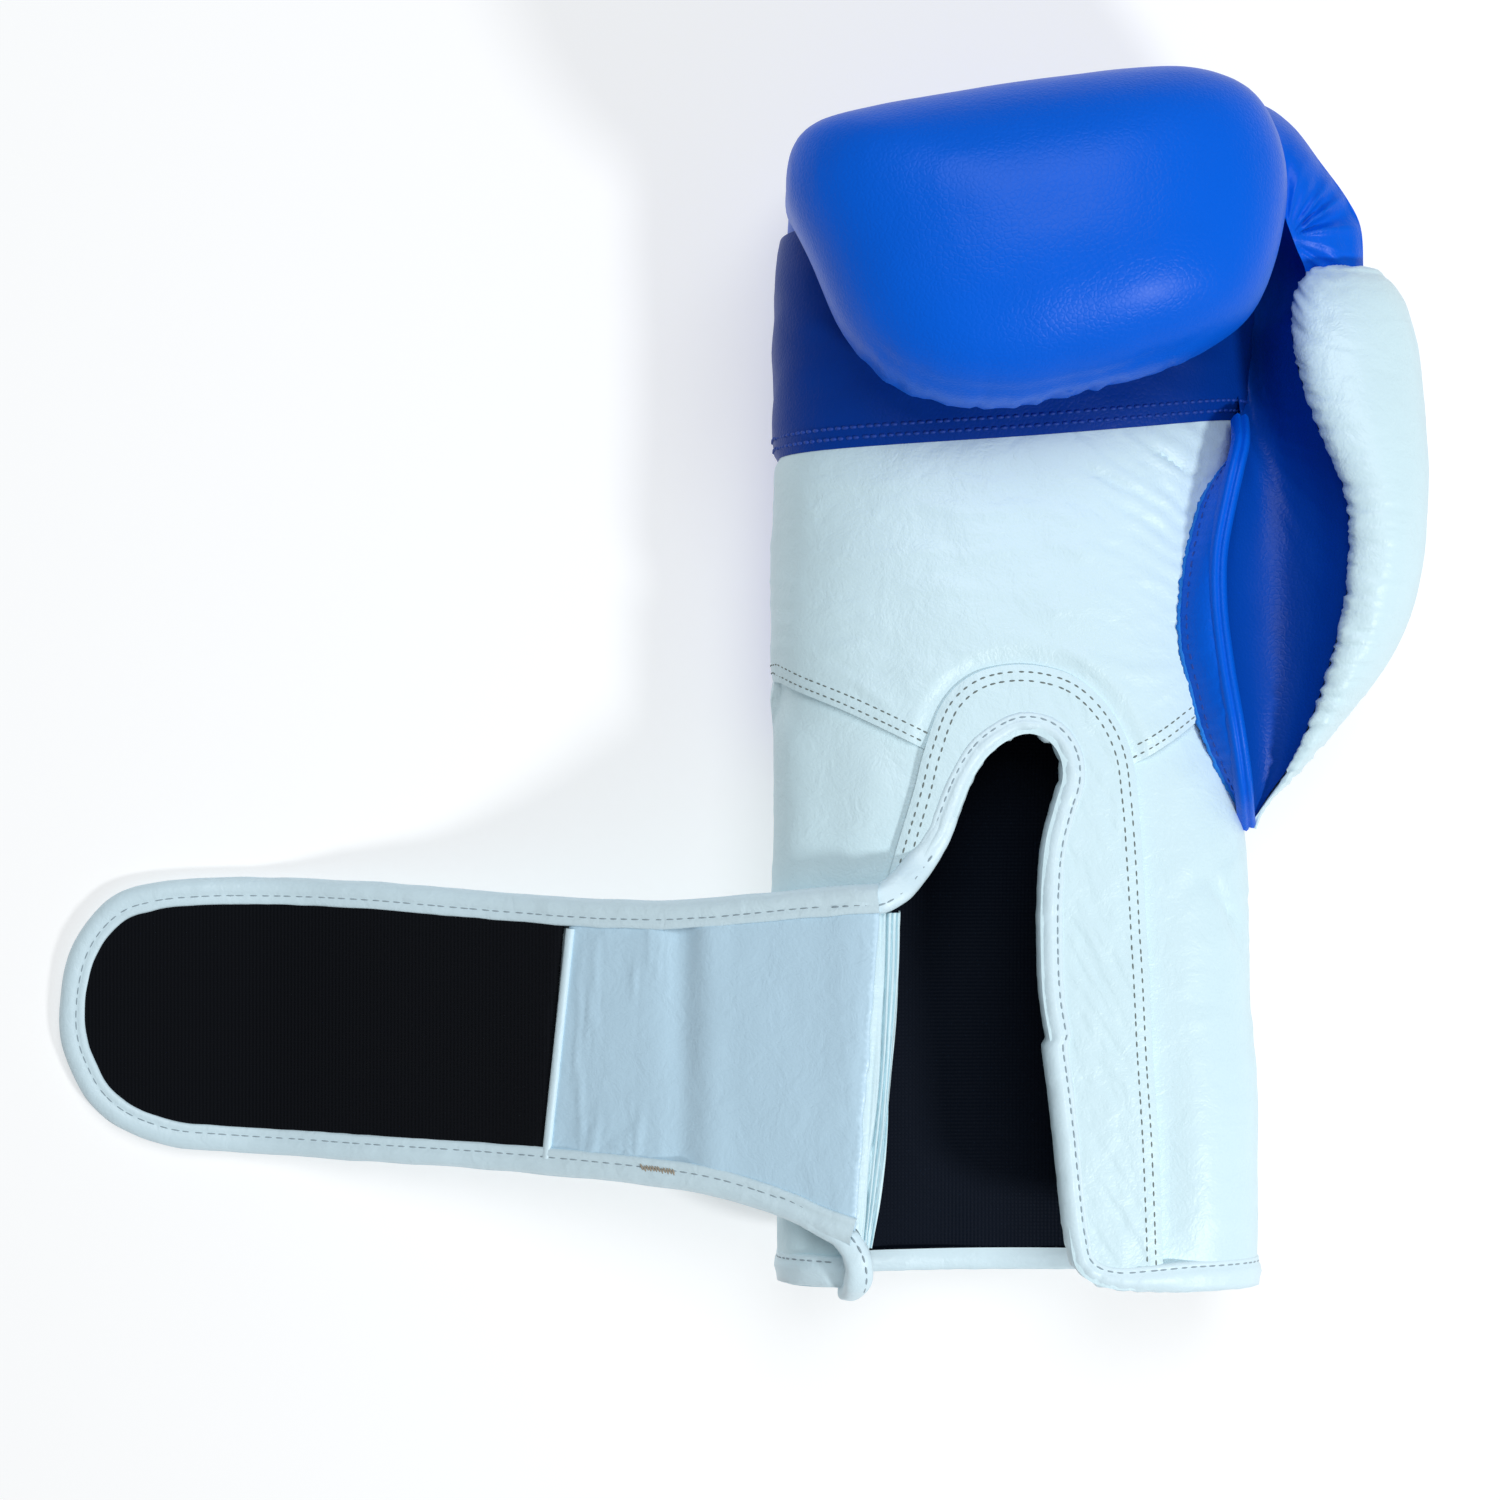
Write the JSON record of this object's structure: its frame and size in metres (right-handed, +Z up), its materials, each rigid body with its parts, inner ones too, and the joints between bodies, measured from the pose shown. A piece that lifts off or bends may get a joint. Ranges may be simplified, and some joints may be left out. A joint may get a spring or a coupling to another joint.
{
  "type": "boxing glove",
  "caption": "Right-hand leather boxing glove lying palm up, with padded thumb, U-shaped wrist opening and a wide hook-and-loop strap folded open.",
  "frame": {"origin": "on the table under the middle of the palm, on the flat of the back of the hand", "axes": "+Z up from the table to the palm side, +Y from the wrist to the knuckles, +X to the thumb side; the strap is folded open to -X"},
  "size_m": [0.332, 0.2842, 0.118],
  "materials": {
    "blue_leather": "smooth semi-gloss with a fine grain",
    "dark_blue_leather": "smooth semi-gloss with a fine grain",
    "white_leather": "soft satin with a fine grain",
    "white_binding": "satin, rolled and stitched",
    "black_lining": "smooth woven lining",
    "hook_tape": "matt nylon hooks",
    "loop_tape": "matt nylon loops",
    "white_stitching": "twisted thread",
    "grey_stitching": "twisted thread",
    "blue_stitching": "twisted thread",
    "brown_stitching": "twisted thread",
    "foam": "closed-cell foam"
  },
  "bodies": {
    "glove": {"fist_shell": "blue_leather", "back_panel": "blue_leather", "finger_panel": "dark_blue_leather", "palm_panel": "white_leather", "cuff_panel_back": "white_leather", "cuff_panel_little_finger_side": "white_leather", "cuff_panel_thumb_side": "white_leather", "opening_facing": "white_leather", "opening_binding": "white_binding", "hem_binding": "white_binding", "curl_foam_outer": "foam", "curl_foam_core": "foam", "knuckle_foam": "foam", "back_foam_outer": "foam", "back_foam_inner": "foam", "palm_foam": "foam", "cuff_foam_back": "foam", "cuff_foam_little_finger_side": "foam", "cuff_foam_thumb_side": "foam", "grip_bar": "black_lining", "hand_lining": "black_lining", "cuff_lining": "black_lining", "thumb_shell": "white_leather", "thumb_inner_panel": "blue_leather", "thumb_gusset": "blue_leather", "thumb_attachment": "blue_leather", "thumb_foam": "foam", "loop_tape": "loop_tape", "strap_anchor": "white_leather"},
    "strap_root": {"strap_inner_leather": "white_leather", "strap_outer_leather_root": "white_leather", "strap_foam_root": "foam", "strap_hook_tape_root": "hook_tape", "strap_binding_root": "white_binding"},
    "strap_middle": {"strap_outer_leather_middle": "white_leather", "strap_foam_middle": "foam", "strap_hook_tape_middle": "hook_tape", "strap_binding_middle": "white_binding"},
    "strap_tip": {"strap_outer_leather_tip": "white_leather", "strap_foam_tip": "foam", "strap_hook_tape_tip": "hook_tape", "strap_binding_tip": "white_binding"}
  },
  "joints": [
    {"name": "strap_fold", "type": "hinge", "parent": "glove", "child": "strap_root", "pos_m": [-0.041, -0.1215, 0.068], "axis": [0.0523, 0.9986, 0], "range_deg": [0, 207.5]},
    {"name": "strap_side_bend", "type": "hinge", "parent": "strap_root", "child": "strap_middle", "pos_m": [-0.12958, -0.11686, 0.02183], "axis": [0.0523, 0.9986, 0], "range_deg": [0, 80.5]},
    {"name": "strap_tip_bend", "type": "hinge", "parent": "strap_middle", "child": "strap_tip", "pos_m": [-0.18844, -0.11377, 0.0026], "axis": [0.0523, 0.9986, 0], "range_deg": [0, 71.9]}
  ]
}
